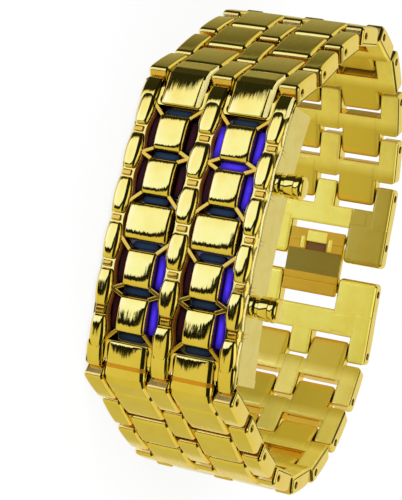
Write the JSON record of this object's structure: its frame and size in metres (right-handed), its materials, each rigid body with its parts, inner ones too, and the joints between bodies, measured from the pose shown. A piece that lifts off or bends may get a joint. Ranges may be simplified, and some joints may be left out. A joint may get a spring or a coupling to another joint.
{
  "type": "bracelet watch",
  "caption": "Closed metal bracelet watch with a slatted digit display, a hinged slat-link band, two side pushers and a folding snap latch",
  "frame": {"origin": "under the middle of the watch's bounding box, on the flat side it lies on", "axes": "+Z across the band towards the two pushers; the display faces -Y and the clasp is at +Y; -X is the 12 o'clock end of the head"},
  "size_m": [0.0852, 0.0686, 0.0316],
  "materials": {
    "polished_gold": "mirror-polished gold plating",
    "pale_gold": "polished pale gold plating",
    "pin_steel": "drawn pin, lightly gold-toned",
    "cover_steel": "brushed",
    "spring_steel": "bright spring steel",
    "lit_bar": "clear bar lit from below",
    "dark_bar": "smoked clear bar, unlit",
    "smoked_sheet": "smoked film",
    "black_mask": "moulded matt black",
    "green_board": "lacquered circuit board",
    "lamp_white": "moulded lamp body",
    "chip_black": "moulded",
    "holder_plastic": "moulded",
    "cell_steel": "bright nickel-plated can",
    "contact_plate": "plated strip",
    "gasket_rubber": "matt"
  },
  "bodies": {
    "head": {"head_case": "polished_gold", "segment_bars_lit": "lit_bar", "segment_bars_unlit": "dark_bar", "diffuser_sheet": "smoked_sheet", "light_mask": "black_mask", "circuit_board": "green_board", "led_chips": "lamp_white", "watch_chip": "chip_black", "switch_leaves": "spring_steel", "battery_holder": "holder_plastic", "button_cells": "cell_steel", "battery_contacts": "contact_plate", "back_gasket": "gasket_rubber", "back_cover": "cover_steel", "back_screws": "cover_steel", "pusher_tubes": "pale_gold", "pusher_springs": "spring_steel"},
    "upper_pusher": {"upper_pusher_button": "pale_gold", "upper_pusher_clip": "spring_steel"},
    "lower_pusher": {"lower_pusher_button": "pale_gold", "lower_pusher_clip": "spring_steel"},
    "upper_link_1": {"upper_link_1": "polished_gold", "upper_link_pin_1": "pin_steel"},
    "upper_link_2": {"upper_link_2": "polished_gold", "upper_link_pin_2": "pin_steel"},
    "upper_link_3": {"upper_link_3": "polished_gold", "upper_link_pin_3": "pin_steel"},
    "upper_link_4": {"upper_link_4": "polished_gold", "upper_link_pin_4": "pin_steel"},
    "upper_link_5": {"upper_link_5": "polished_gold", "upper_link_pin_5": "pin_steel"},
    "upper_link_6": {"upper_link_6": "polished_gold", "upper_link_pin_6": "pin_steel"},
    "upper_link_7": {"upper_link_7": "polished_gold", "upper_link_pin_7": "pin_steel"},
    "upper_link_8": {"upper_link_8": "polished_gold", "upper_link_pin_8": "pin_steel"},
    "upper_clasp": {"upper_clasp_frame": "polished_gold", "upper_clasp_pins": "pin_steel"},
    "lower_link_1": {"lower_link_1": "polished_gold", "lower_link_pin_1": "pin_steel"},
    "lower_link_2": {"lower_link_2": "polished_gold", "lower_link_pin_2": "pin_steel"},
    "lower_link_3": {"lower_link_3": "polished_gold", "lower_link_pin_3": "pin_steel"},
    "lower_link_4": {"lower_link_4": "polished_gold", "lower_link_pin_4": "pin_steel"},
    "lower_link_5": {"lower_link_5": "polished_gold", "lower_link_pin_5": "pin_steel"},
    "lower_link_6": {"lower_link_6": "polished_gold", "lower_link_pin_6": "pin_steel"},
    "lower_link_7": {"lower_link_7": "polished_gold", "lower_link_pin_7": "pin_steel"},
    "lower_link_8": {"lower_link_8": "polished_gold", "lower_link_pin_8": "pin_steel"},
    "lower_clasp": {"lower_clasp_frame": "polished_gold", "lower_clasp_pins": "pin_steel"},
    "latch": {"latch_blade": "polished_gold"}
  },
  "joints": [
    {"name": "upper_link_1_hinge", "type": "hinge", "parent": "head", "child": "upper_link_1", "pos_m": [-0.0229, -0.02822, 0.0135], "axis": [0, 0, 1], "range_deg": [0, 5]},
    {"name": "upper_link_2_hinge", "type": "hinge", "parent": "upper_link_1", "child": "upper_link_2", "pos_m": [-0.02779, -0.02008, 0.0135], "axis": [0, 0, 1], "range_deg": [0, 3]},
    {"name": "upper_link_3_hinge", "type": "hinge", "parent": "upper_link_2", "child": "upper_link_3", "pos_m": [-0.03351, -0.01249, 0.0135], "axis": [0, 0, 1], "range_deg": [0, 5]},
    {"name": "upper_link_4_hinge", "type": "hinge", "parent": "upper_link_3", "child": "upper_link_4", "pos_m": [-0.0384, -0.00435, 0.0135], "axis": [0, 0, 1], "range_deg": [0, 10]},
    {"name": "upper_link_5_hinge", "type": "hinge", "parent": "upper_link_4", "child": "upper_link_5", "pos_m": [-0.04054, 0.00491, 0.0135], "axis": [0, 0, 1], "range_deg": [0, 14]},
    {"name": "upper_link_6_hinge", "type": "hinge", "parent": "upper_link_5", "child": "upper_link_6", "pos_m": [-0.03824, 0.01413, 0.0135], "axis": [0, 0, 1], "range_deg": [0, 16]},
    {"name": "upper_link_7_hinge", "type": "hinge", "parent": "upper_link_6", "child": "upper_link_7", "pos_m": [-0.03226, 0.02151, 0.0135], "axis": [0, 0, 1], "range_deg": [0, 17]},
    {"name": "upper_link_8_hinge", "type": "hinge", "parent": "upper_link_7", "child": "upper_link_8", "pos_m": [-0.02412, 0.0264, 0.0135], "axis": [0, 0, 1], "range_deg": [0, 17]},
    {"name": "upper_clasp_hinge", "type": "hinge", "parent": "upper_link_8", "child": "upper_clasp", "pos_m": [-0.01514, 0.0295, 0.0135], "axis": [0, 0, 1], "range_deg": [0, 15]},
    {"name": "lower_link_1_hinge", "type": "hinge", "parent": "head", "child": "lower_link_1", "pos_m": [0.02809, -0.02822, 0.0135], "axis": [0, 0, -1], "range_deg": [0, 2]},
    {"name": "lower_link_2_hinge", "type": "hinge", "parent": "lower_link_1", "child": "lower_link_2", "pos_m": [0.0318, -0.01948, 0.0135], "axis": [0, 0, -1], "range_deg": [0, 1.5]},
    {"name": "lower_link_3_hinge", "type": "hinge", "parent": "lower_link_2", "child": "lower_link_3", "pos_m": [0.03611, -0.01101, 0.0135], "axis": [0, 0, -1], "range_deg": [0, 1.5]},
    {"name": "lower_link_4_hinge", "type": "hinge", "parent": "lower_link_3", "child": "lower_link_4", "pos_m": [0.03952, -0.00214, 0.0135], "axis": [0, 0, -1], "range_deg": [0, 1.5]},
    {"name": "lower_link_5_hinge", "type": "hinge", "parent": "lower_link_4", "child": "lower_link_5", "pos_m": [0.04051, 0.00731, 0.0135], "axis": [0, 0, -1], "range_deg": [0, 1.5]},
    {"name": "lower_link_6_hinge", "type": "hinge", "parent": "lower_link_5", "child": "lower_link_6", "pos_m": [0.03789, 0.01644, 0.0135], "axis": [0, 0, -1], "range_deg": [0, 1.5]},
    {"name": "lower_link_7_hinge", "type": "hinge", "parent": "lower_link_6", "child": "lower_link_7", "pos_m": [0.03204, 0.02392, 0.0135], "axis": [0, 0, -1], "range_deg": [0, 1.5]},
    {"name": "lower_link_8_hinge", "type": "hinge", "parent": "lower_link_7", "child": "lower_link_8", "pos_m": [0.02407, 0.0291, 0.0135], "axis": [0, 0, -1], "range_deg": [0, 1.5]},
    {"name": "lower_clasp_hinge", "type": "hinge", "parent": "lower_link_8", "child": "lower_clasp", "pos_m": [0.01509, 0.03219, 0.0135], "axis": [0, 0, -1], "range_deg": [0, 1.5]},
    {"name": "latch_hinge", "type": "hinge", "parent": "lower_clasp", "child": "latch", "pos_m": [0.00324, 0.03113, 0.0135], "axis": [0, 0, 1], "range_deg": [0, 85]},
    {"name": "upper_pusher_slide", "type": "slide", "parent": "head", "child": "upper_pusher", "axis": [0, 0, -1], "range_m": [0, 0.0006], "stiffness_N_per_m": 500},
    {"name": "lower_pusher_slide", "type": "slide", "parent": "head", "child": "lower_pusher", "axis": [0, 0, -1], "range_m": [0, 0.0006], "stiffness_N_per_m": 500}
  ],
  "couplings": [
    {"joint": "upper_link_2_hinge", "follows": "upper_link_1_hinge", "ratio": 0.6},
    {"joint": "upper_link_3_hinge", "follows": "upper_link_1_hinge", "ratio": 1},
    {"joint": "upper_link_4_hinge", "follows": "upper_link_1_hinge", "ratio": 2},
    {"joint": "upper_link_5_hinge", "follows": "upper_link_1_hinge", "ratio": 2.8},
    {"joint": "upper_link_6_hinge", "follows": "upper_link_1_hinge", "ratio": 3.2},
    {"joint": "upper_link_7_hinge", "follows": "upper_link_1_hinge", "ratio": 3.4},
    {"joint": "upper_link_8_hinge", "follows": "upper_link_1_hinge", "ratio": 3.4},
    {"joint": "upper_clasp_hinge", "follows": "upper_link_1_hinge", "ratio": 3},
    {"joint": "lower_link_1_hinge", "follows": "upper_link_1_hinge", "ratio": 0.4},
    {"joint": "lower_link_2_hinge", "follows": "upper_link_1_hinge", "ratio": 0.3},
    {"joint": "lower_link_3_hinge", "follows": "upper_link_1_hinge", "ratio": 0.3},
    {"joint": "lower_link_4_hinge", "follows": "upper_link_1_hinge", "ratio": 0.3},
    {"joint": "lower_link_5_hinge", "follows": "upper_link_1_hinge", "ratio": 0.3},
    {"joint": "lower_link_6_hinge", "follows": "upper_link_1_hinge", "ratio": 0.3},
    {"joint": "lower_link_7_hinge", "follows": "upper_link_1_hinge", "ratio": 0.3},
    {"joint": "lower_link_8_hinge", "follows": "upper_link_1_hinge", "ratio": 0.3},
    {"joint": "lower_clasp_hinge", "follows": "upper_link_1_hinge", "ratio": 0.3}
  ]
}
